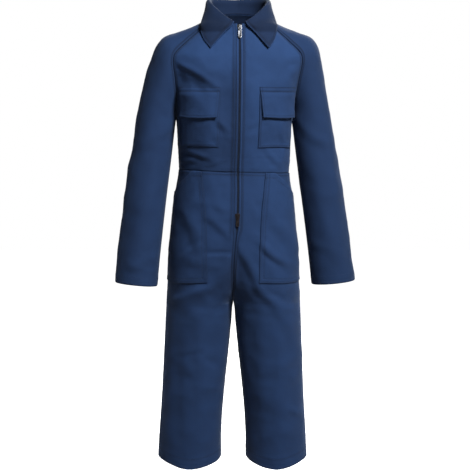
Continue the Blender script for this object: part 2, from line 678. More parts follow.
# Back bodice. One piece of the same twill across the back, without a centre seam. Its
# raglan and side allowances are turned under, and a furrow marks its waist seam.
BACK_FOLDS = 1.6
BACK_CREASES = (
    (-70, 292, 76, 298, 12, 2.6, 4), (-104, 262, -40, 282, 9, 1.4, -4), (40, 270, 108, 256, 9, 1.5, 3),
    (-120, 110, -66, 160, 16, 2.2, -6), (120, 104, 62, 158, 16, 2.0, 7), (-24, 60, -40, 190, 22, 0.9, 6),
    (34, 70, 44, 210, 22, 1.0, -6), (-92, 552, -24, 596, 15, 3.4, 5), (92, 556, 24, 600, 15, 3.2, -5),
    (-84, 590, -28, 640, 14, 1.8, 4), (86, 600, 34, 652, 14, 1.9, -4), (-64, 400, -84, 520, 20, 1.4, 6),
    (70, 390, 92, 520, 20, 1.3, -6), (-134, 722, -60, 708, 16, 2.6, 4), (60, 714, 136, 728, 16, 2.4, -4),
    (-130, 770, -66, 752, 15, 1.5, 4), (64, 760, 132, 782, 15, 1.5, 4), (-100, 650, -108, 930, 22, 1.5, 6),
    (96, 660, 108, 930, 22, 1.4, -6),
)
halves = [bodice_row("back", level, 1) for level in BODICE_LEVELS]
rows, distances = spread([np.concatenate((half[:0:-1] * (-1, 1, 1), half)) for half in halves], 52)
back_cloth = Cloth(rows, distances, 1, -1)
near, far, below = back_cloth.distances, back_cloth.length - back_cloth.distances, back_cloth.below
to_waist = back_cloth.down[-1] - below
x, drop = back_cloth.base[..., 0], -back_cloth.base[..., 2]
height = BACK_FOLDS * creases(BACK_CREASES, x, drop) + unevenness(x, drop, 23, 1.4)
height *= smooth(near, 2, 20) * smooth(far, 2, 20)
height += sewn_edge(near, below, allowance=0.3) + sewn_edge(far, below, allowance=0.3)
height += sewn_edge(to_waist, near, stitch=30.0, allowance=0.0)
back_cloth.raise_by(height)
back_cloth.turn_in()
worn = rubbed(near, amount=0.8) + rubbed(far, amount=0.8) - 0.6 * peak(to_waist, 0, 0.9)
hang(back_cloth, "back_bodice", worn)

# Sleeves. Each is one cut piece from the neck seam over the shoulder to the cuff, closed by
# a seam under the arm. The raglan seams are topstitched on the sleeve side, and the cuff is
# turned up inside and sewn all round.
SHOULDER = Sections(("level", "x", "drop"), (
    (0.00, 62.0, -15.0),
    (0.14, 98.0, 3.2),
    (0.30, 133.0, 15.7),
    (0.45, 162.0, 26.5),
    (0.55, 178.0, 48.0),
    (0.70, 189.3, 84.0),
    (0.85, 200.5, 135.0),
    (1.00, 211.5, 189.0)))
SLEEVE = Sections(("reach", "x", "y", "drop", "half_width", "depth", "tilt"), (
    (0.00, 169.3, 0, 194.5, 42.6, 51, 7.4),
    (0.25, 181.7, -2, 286.0, 44.0, 52, 7.4),
    (0.50, 194.6, -6, 377.5, 45.2, 52, 7.2),
    (0.75, 206.3, -12, 469.0, 46.0, 51, 6.6),
    (1.00, 216.4, -18, 560.6, 46.5, 50, 5.6)))
UNDERARM = 200.0
SHOULDER_LEAN = {"left": 2.8, "right": -3.4}
CUFF_FLARE = {"left": 3.4, "right": -1.0}
CUFF_HEM = 18.0
SLEEVE_FOLDS = 1.45


def sleeve_row(level, name):
    """A sleeve row from its front edge over the outside to its back edge. A level above 1
    runs down the tube."""
    if level <= 1:
        lean = SHOULDER_LEAN[name] * math.exp(-((level - 0.6) / 0.17) ** 2)
        top = np.array((SHOULDER.read("x", level) + lean, 0.0, -SHOULDER.read("drop", level)))
        halves = []
        for face, sign in (("front", -1), ("back", 1)):
            seam_x, _, seam_z = raglan_seam(face, level)
            angle = math.radians(RAGLAN[face].read("seam_angle", level))
            reach = np.array((top[0] - seam_x, 0.0, top[2] - seam_z))
            turn = np.linspace(angle, 0, ROW_STEPS)[:, None]
            half = top - reach * (1 - np.cos(turn)) / (1 - math.cos(angle))
            halves.append(half + np.sin(turn) * (0.0, sign * RAGLAN[face].read("depth", level), 0.0))
        return np.concatenate((halves[0], halves[1][-2::-1]))
    reach = level - 1
    tilt = math.radians(SLEEVE.read("tilt", reach))
    turn = np.linspace(-math.pi, math.pi, 2 * ROW_STEPS)
    wide = SLEEVE.read("half_width", reach) * np.cos(turn)
    wide += CUFF_FLARE[name] * smooth(reach, 0.8, 1.0) * np.maximum(np.cos(turn), 0) ** 2
    deep = SLEEVE.read("depth", reach) * np.sin(turn)
    return np.stack((SLEEVE.read("x", reach) + wide * math.cos(tilt), SLEEVE.read("y", reach) + deep,
                     -SLEEVE.read("drop", reach) + wide * math.sin(tilt)), axis=1)


SLEEVE_LEVELS = np.concatenate((np.linspace(0, 1, 52), 1 + np.linspace(0.014, 0.985, 72),
                                (1.989, 1.993, 1.997, 2.0)))
# Creases of a sleeve, over the distance round the arm from its front edge and the drop
SLEEVE_CREASES = {
    "left": ((30, 210, 90, 250, 12, 1.8, 4), (44, 250, 120, 262, 12, 1.2, -4),
             (60, 330, 96, 520, 16, 1.5, 8), (150, 300, 132, 530, 18, 1.6, -6),
             (112, 240, 104, 400, 16, 1.2, 5), (70, 372, 150, 352, 14, 0.9, 5),
             (24, 470, 84, 500, 12, 1.0, -4), (215, 240, 150, 290, 14, 1.6, 5),
             (230, 340, 170, 380, 14, 1.4, -5), (200, 420, 205, 540, 16, 1.2, 6)),
    "right": ((26, 214, 88, 246, 12, 1.7, 4), (40, 262, 112, 252, 12, 1.0, 4),
              (64, 300, 84, 540, 16, 1.4, -7), (140, 280, 150, 520, 18, 1.5, 6),
              (100, 220, 112, 380, 16, 1.3, -5), (60, 392, 140, 380, 14, 0.8, 5),
              (30, 500, 96, 524, 11, 1.3, -4), (40, 532, 104, 512, 9, 1.2, 3),
              (212, 250, 152, 300, 14, 1.5, -5), (228, 352, 168, 372, 14, 1.3, 5),
              (196, 410, 208, 540, 16, 1.2, -6)),
}
for side, name in SIDES:
    rows, distances = spread([sleeve_row(level, name) for level in SLEEVE_LEVELS], 44)
    sleeve = Cloth(rows, distances, side, 1, lowest=UNDERARM)
    near, far, below = sleeve.distances, sleeve.length - sleeve.distances, sleeve.below
    to_cuff = sleeve.down[-1] - below
    drop = -sleeve.base[..., 2]
    inner = smooth(near, 2, 20) * smooth(far, 2, 20)
    height = SLEEVE_FOLDS * creases(SLEEVE_CREASES[name], near, drop) * inner
    height += unevenness(near, drop, 31 + side, 0.9) * inner * smooth(below, 0, 60)
    seams = sewn_edge(near, below, allowance=0.6) + sewn_edge(far, below, allowance=0.6)
    height += seams * (1 - 0.8 * smooth(drop, 205, 225))
    height += sewn_edge(to_cuff, near, CUFF_HEM, 0.35, 0.22)
    sleeve.raise_by(height)
    rim = sleeve.down[-1]
    sleeve.turn_in()
    sleeve.turn_up(CUFF_HEM)
    worn = (rubbed(near) + rubbed(far)) * (1 - 0.6 * smooth(drop, 205, 225))
    worn += 0.30 * peak(to_cuff, 0, 1.6) - 0.55 * peak(to_cuff, CUFF_HEM, 1.0) - (0.36 if side > 0 else 0.24)
    hang(sleeve, "sleeve_" + name, worn)
    seam_end = float(np.interp(UNDERARM, drop[:, 2], below[:, 0])) - 4
    sew("sleeve_" + name, [sleeve.line_down(34, seam_end, EDGE_STITCH),
                           sleeve.line_down(44, seam_end, EDGE_STITCH, from_far=True),
                           sleeve.line_across(rim - CUFF_HEM)])

# Legs. Two fronts and two backs of twill from the waist seam to the turned-up hems, sewn at
# the side seams, the inseams and the crotch. The waist seam is topstitched below, and the
# fronts are stitched beside the zip and down the front of the crotch seam.
LEG = Sections(("drop", "outer", "centre", "front", "back", "square", "crease"), (
    (317, 120.0, 0.0, 92.0, 87.5, 2.35, 2.35),
    (339, 123.5, 0.0, 95.0, 92.0, 2.35, 2.35),
    (361, 127.5, 0.0, 98.0, 98.0, 2.3, 2.3),
    (405, 132.5, 4.0, 101.5, 106.0, 2.25, 2.25),
    (449, 136.5, 14.0, 102.0, 109.0, 2.2, 2.2),
    (493, 140.5, 30.0, 100.0, 107.0, 2.2, 2.2),
    (548, 143.5, 52.0, 94.5, 101.0, 2.15, 2.15),
    (585, 145.8, 67.0, 89.0, 95.0, 2.1, 2.1),
    (603, 146.5, 73.2, 86.0, 91.0, 2.1, 2.1),
    (647, 148.5, 76.5, 81.0, 85.0, 2.15, 2.0),
    (713, 151.0, 81.0, 77.0, 80.0, 2.2, 1.9),
    (823, 155.5, 89.0, 73.0, 76.0, 2.2, 1.8),
    (890, 159.5, 93.0, 71.0, 73.5, 2.2, 1.75),
    (946, 162.0, 94.7, 70.0, 72.0, 2.2, 1.7)))
HEM = 946.0
LEG_HEM = 22.0
HEM_DIP = 18.4
RIGHT_FLARE = 3.6
WAIST_STITCH = 6.5


def leg_row(face, drop, side):
    """Half a trouser row, from the front edge, crotch seam or inseam to the side seam."""
    sign = -1 if face == "front" else 1
    square, crease = LEG.read("square", drop), LEG.read("crease", drop)
    centre = LEG.read("centre", drop)
    width = LEG.read("outer", drop) - centre
    start_x = CROTCH_SHARE
    if face == "front":
        start_x = max(FRONT_EDGE.read("slot", drop), CROTCH_SHARE) + side * FRONT_EDGE.read("drift", drop)
    overlap = (centre - start_x) / width
    first = -math.pi / 2
    if overlap < 1:
        first = -math.copysign(math.asin(abs(overlap) ** (crease / 2)), overlap)
    angle = np.linspace(first, math.pi / 2, ROW_STEPS)
    x = centre + width * squared(np.sin(angle), crease)
    if overlap > 0.5:
        x = np.maximum(x, CROTCH_SHARE)
    if side < 0:
        x = x + RIGHT_FLARE * smooth(drop, 560, HEM) * np.maximum(np.sin(angle), 0) ** 2
    y = sign * LEG.read(face, drop) * np.abs(np.cos(angle)) ** (2 / square)
    return np.stack((x, y, np.full_like(x, -drop)), axis=1)


LEG_DROPS = np.concatenate(((317.03, 317.5, 318.1, 318.9, 319.8, 320.8, 321.8, 322.8, 324, 325.5, 328),
                            np.arange(332.0, 560.0, 4.5), np.arange(560.0, 640.0, 3.0),
                            np.arange(640.0, 922.0, 5.0),
                            (922, 923.5, 925, 929, 934, 939, 943, 944.5, 945.5, 946)))
LEG_CENTRES = np.array([LEG.read("centre", drop) for drop in LEG_DROPS])
LEG_OUTERS = np.array([LEG.read("outer", drop) for drop in LEG_DROPS])
front_leg_cloth = {}
for side, name in SIDES:
    for face, outward, table in (("front", 1, FRONT_CREASES), ("back", -1, BACK_CREASES)):
        node = "%s_leg_%s" % (face, name)
        in_front = face == "front"
        rows, distances = spread([leg_row(face, drop, side) for drop in LEG_DROPS], 26,
                                 starts=np.where(LEG_CENTRES * 2 > LEG_OUTERS, SEAM_SHARE, 0.0))
        bow = np.where(rows[..., 0] < LEG_CENTRES[:, None], 1.6, 2.4)
        dip = HEM_DIP * smooth(LEG_DROPS, 700, HEM)[:, None]
        rows[..., 2] -= dip * np.maximum(-rows[..., 1] / 70, 0) ** bow
        leg = Cloth(rows, distances, side, outward)
        near, far, below = leg.distances, leg.length - leg.distances, leg.below
        to_hem = leg.down[-1] - below
        x, drop = leg.base[..., 0] * side, -leg.base[..., 2]
        parted = 1 - (1 - smooth(leg.base[..., 0], 1.0, 9.0)) * smooth(drop, 450, 480)
        height = (1.0 if in_front else BACK_FOLDS) * creases(table, x, drop)
        height += unevenness(x, drop, 47 if in_front else 53, 1.4)
        height *= smooth(near, 1, 12) * smooth(far, 0, 16)
        if in_front:
            zipped = 1 - smooth(drop, 440, 470)
            height += sewn_edge(near, below, allowance=0.7) * zipped
            height += sewn_edge(near, below, SEAM_STITCH, 0.15) * (1 - zipped)
            worn = zipped * (rubbed(near) + 0.16 * peak(near, 0, 3.5))
            worn += (1 - zipped) * rubbed(near, SEAM_STITCH)
            worn -= zipped * 0.75 * peak(near, SECOND_ZIP_STITCH[name], 1.3)
        else:
            height += sewn_edge(near, below, SEAM_STITCH, 0.25)
            worn = rubbed(near, SEAM_STITCH, 0.8)
        height += sewn_edge(far, below, SEAM_STITCH, 0.2) + sewn_edge(below, near, EDGE_STITCH, 0.45, 0.2)
        height += sewn_edge(to_hem, near, LEG_HEM, 0.35, 0.25)
        leg.raise_by(height * parted)
        rim = leg.down[-1]
        leg.turn_in()
        leg.turn_up(LEG_HEM)
        worn += rubbed(far, SEAM_STITCH, 0.6) + rubbed(below, EDGE_STITCH, 0.75)
        worn -= 0.36 * (1 - smooth(near, 4, 50)) * smooth(drop, 470, 530)
        worn += 0.3 * peak(to_hem, 0, 1.6) - 0.55 * peak(to_hem, LEG_HEM, 1.0)
        hang(leg, node, worn)
        lines = [leg.line_across(WAIST_STITCH), leg.line_across(rim - LEG_HEM)]
        if in_front:
            front_leg_cloth[name] = leg
            lines += [leg.line_down(2, 128, EDGE_STITCH), leg.line_down(2, 122, SECOND_ZIP_STITCH[name])]
            if side > 0:
                lines.append(leg.line_down(136, 186, 5.5))
        else:
            lines.append(leg.line_down(4, 262, 5.5))
        sew(node, lines)

# Collar. A shirt collar in two layers of twill over interlining: a stand up from the neck
# seam, a soft roll and a fall with pointed fronts, topstitched round its edge.
COLLAR = Sections(("around", "edge_share", "edge_level", "roll_x", "roll_y", "roll_drop"), (
    (0.00, 0.150, 0.375, 13.0, -70.5, -4.0),
    (0.12, 0.200, 0.300, 30.0, -62.5, -15.0),
    (0.25, 0.275, 0.200, 48.0, -46.0, -30.0),
    (0.38, 0.380, 0.105, 60.5, -25.0, -44.0),
    (0.52, 0.500, 0.040, 65.0, 4.0, -54.0),
    (0.68, 0.680, 0.070, 58.0, 31.0, -57.0),
    (0.84, 0.840, 0.115, 35.0, 51.0, -57.0),
    (1.00, 1.000, 0.120, 0.0, 59.0, -57.0)))
COLLAR_START = 8.5
COLLAR_ROLL = 2.4
COLLAR_LIFT = 2.8
COLLAR_BULGE = 0.8
COLLAR_WALL = 1.6
COLLAR_STITCH = 6.5
COLLAR_DOWN = np.concatenate((np.linspace(0, 0.80, 18),
                              (0.84, 0.87, 0.895, 0.915, 0.935, 0.955, 0.975, 0.99, 1.0)))
COLLAR_AROUND = np.concatenate(((0, 0.003, 0.007, 0.012, 0.018, 0.026, 0.036), np.linspace(0.05, 1, 52)))


def shoulder_row(level):
    """Half a row round the shoulders, from the front edge to the centre back."""
    return np.concatenate((bodice_row("front", level, 1), sleeve_row(level, "left")[1:],
                           bodice_row("back", level, 1)[-2::-1]))


def shoulder_point(level, share, lift):
    """A point on the shoulders, moved out from them."""
    row, lower = shoulder_row(level), shoulder_row(level + 0.03)
    length = run_along(row)[-1]
    shares = np.array((share, max(share - 0.02, 0), min(share + 0.02, 1)))
    point, before, after = spots_along(row, shares * length)
    below = spots_along(lower, np.array([run_along(lower)[-1] * share]))[0] - point
    return point + unit(np.cross(below, after - before)) * lift


def collar_section(around):
    """The collar's section as a fine curve: up the stand, over the roll, down the fall."""
    neck_row = shoulder_row(0.0)
    length = run_along(neck_row)[-1]
    neck = spots_along(neck_row, np.array([COLLAR_START + (length - COLLAR_START) * around]))[0]
    neck = neck + (0, 0, 0.1)
    roll = np.array((COLLAR.read("roll_x", around), COLLAR.read("roll_y", around),
                     -COLLAR.read("roll_drop", around)))
    edge = shoulder_point(COLLAR.read("edge_level", around), COLLAR.read("edge_share", around), COLLAR_LIFT)
    out = np.array((roll[0], roll[1], 0.0)) / math.hypot(roll[0], roll[1])
    drop = np.array((0, 0, COLLAR_ROLL))
    inner, outer = roll - out * COLLAR_ROLL - drop, roll + out * COLLAR_ROLL - drop
    bulge = out * COLLAR_BULGE
    knots = np.array((neck, (neck + inner) / 2, inner, roll, outer, outer + (edge - outer) * 0.33 + bulge,
                      outer + (edge - outer) * 0.67 + bulge, edge))
    run = run_along(knots)
    slopes = np.gradient(knots, run, axis=0)
    curve = []
    for at in np.concatenate((np.linspace(0, run[2], 12), np.linspace(run[2], run[4], 9)[1:],
                              run[4] + (run[-1] - run[4]) * COLLAR_DOWN[1:])):
        low = min(int(np.searchsorted(run, at, side="right")) - 1, len(run) - 2)
        span = run[low + 1] - run[low]
        share = (at - run[low]) / span
        point = knots[low] * (1 + 2 * share) * (1 - share) ** 2
        point += knots[low + 1] * share ** 2 * (3 - 2 * share)
        point += span * slopes[low] * share * (1 - share) ** 2
        point -= span * slopes[low + 1] * share ** 2 * (1 - share)
        curve.append(point)
    return np.array(curve)


def paced(points, axis):
    """The distance of each point of a grid along its line, from the line's first point."""
    run = np.cumsum(np.linalg.norm(np.diff(points, axis=axis), axis=2), axis=axis)
    return np.concatenate((np.zeros_like(run.take([0], axis=axis)), run), axis=axis)


sections = [collar_section(around) for around in COLLAR_AROUND]
mirrored = [section * (-1, 1, 1) for section in sections]
rows = np.array((mirrored + sections[-2::-1])).transpose(1, 0, 2)
collar = Cloth(rows, paced(rows, 1), 1, 1)
near, far = collar.distances, collar.length - collar.distances
from_neck, to_edge = paced(rows, 0), paced(rows[::-1], 0)[::-1]
from_rim = np.minimum(np.minimum(near, far), to_edge)
x, drop = rows[..., 0], -rows[..., 2]
height = unevenness(x * 1.3, drop + rows[..., 1], 67, 0.6)
height *= smooth(from_rim, 1, 14) * smooth(from_neck, 2, 20)
height += sewn_edge(from_rim, near + to_edge, COLLAR_STITCH, 0.35, 0.12)
leaf = smooth(-rows[..., 1], 8, 32) * smooth(np.arange(len(drop))[:, None], 19, 26) * smooth(from_rim, 1.5, 9)
height += leaf * (2.2 * peak(drop, 19, 4.5) - 4.6 * peak(drop, 5, 8.5)) - 0.35 * peak(from_neck, 0, 0.9)
collar.raise_by(height)
worn = 0.40 * peak(from_rim, 0, 1.4) - 0.5 * peak(from_rim, COLLAR_STITCH, 1.0)
worn -= 0.6 * peak(from_neck, 0, 1.2)
worn += leaf * (0.22 * peak(drop, 18.5, 2.2) + 0.12 * smooth(drop, 17, 24))
worn -= (0.3 + 0.7 * leaf) * 0.32 * peak(drop, 2, 13)
hang(collar, "collar", worn, wall=COLLAR_WALL)
edge_rows = [float(np.interp(COLLAR_STITCH, to_edge[::-1, column], np.arange(len(to_edge))[::-1]))
             for column in range(to_edge.shape[1])]
edge_line = [collar.spot(row, near[int(row), column]) for column, row in enumerate(edge_rows)
             if COLLAR_STITCH <= near[int(row), column] <= near[int(row), -1] - COLLAR_STITCH]
end_lines = [[collar.spot(row, near[int(row), -1] - COLLAR_STITCH if last else COLLAR_STITCH)
              for row in np.linspace(26, edge_rows[-last], 14)] for last in (0, 1)]
sew("collar", [edge_line] + end_lines)

# Chest pockets. Patch pockets of the same twill with their edges turned in, topstitched down
# both sides and along the bottom, each under a flap that is sewn on along its top only.
# The flap's top edge is stitched twice, and its inner side slants.
PATCH_WALL = 1.0
PATCH_STITCH = 4.5
POCKET_GAP = 0.8
PATCH_SPREAD = np.concatenate(((0, 0.006, 0.014, 0.024, 0.038, 0.054, 0.066, 0.078, 0.092, 0.115),
                               np.linspace(0.15, 0.85, 26),
                               (0.885, 0.908, 0.922, 0.934, 0.946, 0.962, 0.976, 0.986, 0.994, 1.0)))


class Patch:
    """A patch laid over a cloth piece, at row numbers, distances and lifts on it."""

    def __init__(self, cloth, row_numbers, places, lift):
        self.points = np.zeros(places.shape + (3,))
        for here in np.ndindex(places.shape):
            self.points[here] = cloth.spot(row_numbers[here], places[here], lift[here])[0]
        self.side = cloth.side
        self.normals = outwards(self.points, self.side)
        self.from_inner, self.from_top = paced(self.points, 1) / MM, paced(self.points, 0) / MM
        self.from_outer = self.from_inner[:, -1:] - self.from_inner
        self.from_bottom = self.from_top[-1:] - self.from_top
        self.distances = self.from_inner

    def raise_by(self, height):
        """Raise the outer face by a height at each point."""
        self.points = self.points + self.normals * (height * MM)[..., None]
        self.normals = outwards(self.points, self.side)

    spot = Cloth.spot

    def line_beside(self, edge, inset, start, end):
        """A line of stitching inside one edge, from a start to an end along it."""
        line = []
        if edge in ("top", "bottom"):
            order = slice(None) if edge == "top" else slice(None, None, -1)
            down = self.from_top if edge == "top" else self.from_bottom
            for column in range(down.shape[1]):
                row = float(np.interp(inset, down[order, column], np.arange(len(down))[order]))
                place = self.from_inner[int(row), column]
                if start <= place <= self.from_inner[int(row), -1] - end:
                    line.append(self.spot(row, place))
            return line
        column = 0 if edge == "inner" else -1
        for row in range(len(self.points)):
            if self.from_top[row, column] >= start and self.from_bottom[row, column] >= end:
                line.append(self.spot(row, inset if edge == "inner" else self.from_inner[row, -1] - inset))
        return line

    def hang(self, node, worn, lines):
        """Make the sheet that stands for its CAD node, and its stitching."""
        hang_grid(node, self.points, self.side < 0, self.from_inner, self.from_top, PATCH_WALL,
                  worn)
        sew(node, [self.line_beside(*line) for line in lines])


CHEST_INNER = 42.0
CHEST_OUTER = 139.5
POCKET_TOP = 164.0
POCKET_BOTTOM = 265.0
FLAP_TOP = 153.0
FLAP_BOTTOM = 200.0
FLAP_TAPER = 0.06
FLAP_STITCH = 5.0
SECOND_FLAP_STITCH = 9.5
BODICE_DROPS = np.where(BODICE_LEVELS <= 1, BODICE_LEVELS * UNDERARM, BODICE_LEVELS)


def across_chest(cloth, levels):
    """The row numbers of levels on a front, and how far along them the pocket's sides are."""
    row_of = np.arange(len(BODICE_DROPS))
    row_numbers = np.interp(levels, BODICE_DROPS, row_of)
    start = np.interp(row_numbers, row_of, cloth.base[:, 0, 0])
    return row_numbers, CHEST_INNER - start, CHEST_OUTER - start


down, share = np.meshgrid(PATCH_SPREAD, PATCH_SPREAD, indexing="ij")
belly = np.sin(math.pi * share)
for side, name in SIDES:
    bodice = front_cloth[name]
    levels = POCKET_TOP + (POCKET_BOTTOM - POCKET_TOP) * down - 1.5 * belly * down
    row_numbers, inner, outer = across_chest(bodice, levels)
    places = inner + (outer - inner) * share
    fullness = 2.5 * np.sin(math.pi * down) * belly
    pocket = Patch(bodice, row_numbers, places, POCKET_GAP + PATCH_WALL + fullness)
    rim = np.minimum(np.minimum(pocket.from_inner, pocket.from_outer), pocket.from_bottom)
    height = unevenness(places, levels, 71 + side, 0.5) * smooth(rim, 2, 16)
    height += sewn_edge(rim, pocket.from_top + pocket.from_inner, PATCH_STITCH, 0.3, 0.14)
    pocket.raise_by(height)
    pocket.hang("chest_pocket_" + name, -0.85 * peak(rim, 0, 1.6) - 0.6 * peak(rim, PATCH_STITCH, 1.1), (
        ("inner", PATCH_STITCH, 36, PATCH_STITCH), ("outer", PATCH_STITCH, 36, PATCH_STITCH),
        ("bottom", PATCH_STITCH, PATCH_STITCH, PATCH_STITCH)))

    levels = FLAP_TOP + (FLAP_BOTTOM - FLAP_TOP) * down + 1.6 * belly * down
    row_numbers, inner, outer = across_chest(bodice, levels)
    inner = inner + (outer - inner) * FLAP_TAPER * down
    places = inner + (outer - inner) * share
    over_pocket = np.clip((levels - POCKET_TOP) / (POCKET_BOTTOM - POCKET_TOP), 0, 1)
    lift = POCKET_GAP + PATCH_WALL + smooth(down, 0.10, 0.3) * (POCKET_GAP + PATCH_WALL + 0.5)
    lift += 2.5 * np.sin(math.pi * over_pocket) * np.sin(math.pi * np.clip(share, 0.12, 0.88))
    lift += 4.0 * down ** 2
    flap = Patch(bodice, row_numbers, places, lift)
    rim = np.minimum(np.minimum(flap.from_inner, flap.from_outer), flap.from_bottom)
    height = unevenness(places, levels, 81 + side, 0.45) * smooth(np.minimum(rim, flap.from_top), 2, 14)
    height += sewn_edge(rim, flap.from_top + flap.from_inner, FLAP_STITCH, 0.3, 0.12)
    height += sewn_edge(flap.from_top, flap.from_inner, 3.0, 0.0, 0.08)
    height -= 0.8 * peak(flap.from_top, SECOND_FLAP_STITCH, 1.2)
    flap.raise_by(height)
    worn = -0.8 * peak(rim, 0, 1.4) - 0.5 * peak(rim, FLAP_STITCH, 1.0)
    worn -= 0.9 * peak(flap.from_top, SECOND_FLAP_STITCH, 1.5) + 0.9 * peak(flap.from_top, 0, 1.6)
    flap.hang("chest_flap_" + name, worn, (
        ("top", 3.0, 2, 2), ("top", SECOND_FLAP_STITCH, 2, 2), ("inner", FLAP_STITCH, 10, FLAP_STITCH),
        ("outer", FLAP_STITCH, 10, FLAP_STITCH), ("bottom", FLAP_STITCH, FLAP_STITCH, FLAP_STITCH)))

# Hip pockets. Large patches on the trouser fronts, caught in the waist seam and the side
# seam. The mouth slants from the waist down to the side and is hemmed, and the inner side
# and the curved bottom are stitched down twice.
HIP_INNER = Sections(("drop", "left", "right"), (
    (317, 62.0, 73.5),
    (391, 58.0, 62.0),
    (430, 57.0, 58.5),
    (555, 55.0, 55.0),
    (700, 55.0, 55.0)))
HIP_TOP = 317.6
HIP_BOTTOM = 555.0
HIP_MOUTH_DEPTH = 45.0
HIP_MOUTH_START = 0.235
HIP_MOUTH_END = 0.92
HIP_MOUTH_STITCH = 12.0
SECOND_HIP_STITCH = 10.5
HIP_CREASES = {
    "left": ((58, 468, 108, 510, 6, 1.6, 4), (94, 434, 132, 480, 11, 1.6, -4),
             (66, 352, 86, 430, 12, 1.4, 5), (72, 520, 96, 430, 12, 1.0, -4)),
    "right": ((-62, 466, -82, 486, 6, 2.6, 2), (-84, 482, -102, 500, 6, 1.6, 2),
              (-104, 404, -74, 474, 12, 1.6, -5), (-84, 360, -96, 440, 13, 1.3, 4),
              (-78, 520, -118, 470, 12, 1.4, -5)),
}
HIP_DROPS = np.linspace(317.4, 570.0, 120)
HIP_SPREAD = np.concatenate(((0, 0.004, 0.009, 0.016, 0.025, 0.035, 0.045, 0.055, 0.066, 0.085),
                             np.linspace(0.11, 0.93, 40),
                             (0.945, 0.956, 0.965, 0.973, 0.981, 0.988, 0.994, 1.0)))
HIP_ROW = 40
down, share = np.meshgrid(HIP_SPREAD, PATCH_SPREAD, indexing="ij")
slant = np.clip((share - HIP_MOUTH_START) / (HIP_MOUTH_END - HIP_MOUTH_START), 0, 1)
mouth = HIP_TOP + HIP_MOUTH_DEPTH * slant
levels = mouth + (HIP_BOTTOM + 3.0 * np.sin(math.pi * share) - mouth) * down
for side, name in SIDES:
    leg = front_leg_cloth[name]
    inner_at, length_at = [], []
    for drop in HIP_DROPS:
        row = leg_row("front", drop, side)
        run = run_along(row)
        inner_at.append(float(np.interp(HIP_INNER.read(name, drop), row[:, 0], run)))
        length_at.append(float(run[-1]))
    inner = np.interp(levels, HIP_DROPS, inner_at)
    places = inner + (np.interp(levels, HIP_DROPS, length_at) - 0.6 - inner) * share
    fullness = 2.3 * np.sin(math.pi * down) * np.sin(math.pi * share)
    pocket = Patch(leg, np.interp(levels, LEG_DROPS, np.arange(len(LEG_DROPS))), places,
                   POCKET_GAP + PATCH_WALL + fullness)
    rim = np.minimum(pocket.from_inner, pocket.from_bottom)
    inside = smooth(np.minimum(np.minimum(rim, pocket.from_outer), pocket.from_top), 2, 18)
    x = np.interp(places, leg.places[HIP_ROW], leg.base[HIP_ROW][:, 0]) * side
    height = (creases(HIP_CREASES[name], x, levels) + unevenness(x, levels, 91 + side, 0.7)) * inside
    height += sewn_edge(rim, pocket.from_top + pocket.from_inner, PATCH_STITCH, 0.3, 0.16)
    height += sewn_edge(pocket.from_top, pocket.from_inner, HIP_MOUTH_STITCH, 0.4, 0.12)
    height -= 0.35 * peak(rim, SECOND_HIP_STITCH, 0.9)
    pocket.raise_by(height)
    worn = 0.15 * peak(pocket.from_top, 0, 1.5) - 0.4 * peak(pocket.from_top, HIP_MOUTH_STITCH, 0.9)
    worn -= 0.85 * peak(rim, 0, 1.6) + 0.6 * peak(rim, PATCH_STITCH, 1.1)
    worn -= 0.55 * peak(rim, SECOND_HIP_STITCH, 1.1)
    pocket.hang("hip_pocket_" + name, worn, (
        ("inner", PATCH_STITCH, 6, PATCH_STITCH), ("inner", SECOND_HIP_STITCH, 6, SECOND_HIP_STITCH),
        ("bottom", PATCH_STITCH, PATCH_STITCH, 2), ("bottom", SECOND_HIP_STITCH, SECOND_HIP_STITCH, 2),
        ("top", HIP_MOUTH_STITCH, 6, 3)))

# Zip. Two woven tapes behind the front edges, with a moulded coil sewn along the inner edge
# of each, so that the coils hook together in the slot between the fronts.
TAPE_WALL = 0.6
TAPE_BEHIND = 1.75
TAPE_BEYOND = 1.5
TAPE_WIDTH = 11.0
TAPE_END = 590.0
CHAIN_SINK = 0.55
CHAIN_TOP = 2.0
CHAIN_BOTTOM = 470.0
COIL_PITCH = 1.3


def zip_front(name):
    """A whole front's outer face beside the zip, in unsettled millimetres."""
    return np.concatenate((front_cloth[name].base[:, :20], front_leg_cloth[name].base[1:, :20]))


tape_weave = new_finish("woven_tape", {"Roughness": 0.8, "Specular IOR Level": 0.2})
tape_ribs = wire(tape_weave, "TexWave", {"Vector": wire(tape_weave, "TexCoord", {}).outputs["UV"],
                                         "Scale": 420.0, "Distortion": 0.6},
                 wave_type="BANDS", bands_direction="DIAGONAL").outputs["Fac"]
tape_bump = wire(tape_weave, "Bump", {"Strength": 0.4, "Distance": 0.0001, "Height": tape_ribs})
feed(tape_weave, surface_of(tape_weave), {
    "Base Color": blend(tape_weave, tape_ribs, (0.005, 0.012, 0.034), (0.009, 0.021, 0.056)),
    "Normal": tape_bump.outputs["Normal"]})
for side, name in SIDES:
    front = zip_front(name)
    outer_face = outwards(front, 1)
    tape_rows, tape_distances = [], []
    for row in [row for row in range(len(front)) if -front[row, 0, 2] <= TAPE_END][::2]:
        drop = -front[row, 0, 2]
        behind = front[row] - outer_face[row] * (TAPE_BEHIND + 3.0 * float(smooth(drop, 445, 485)))
        places = np.linspace(0, TAPE_WIDTH, 8)
        inner_edge = behind[0] + unit(behind[0] - behind[3]) * (TAPE_BEYOND if drop < 445 else 0.1)
        tape_rows.append(np.concatenate(([inner_edge], spots_along(behind, places))))
        tape_distances.append(np.concatenate(([0.0], places + TAPE_BEYOND)))
    tape = Cloth(np.array(tape_rows), np.array(tape_distances), side, 1)
    hang_grid("zip_tape_" + name, tape.points, side < 0, tape.distances, tape.down[:, None], TAPE_WALL,
              finishes=(tape_weave, tape_weave))

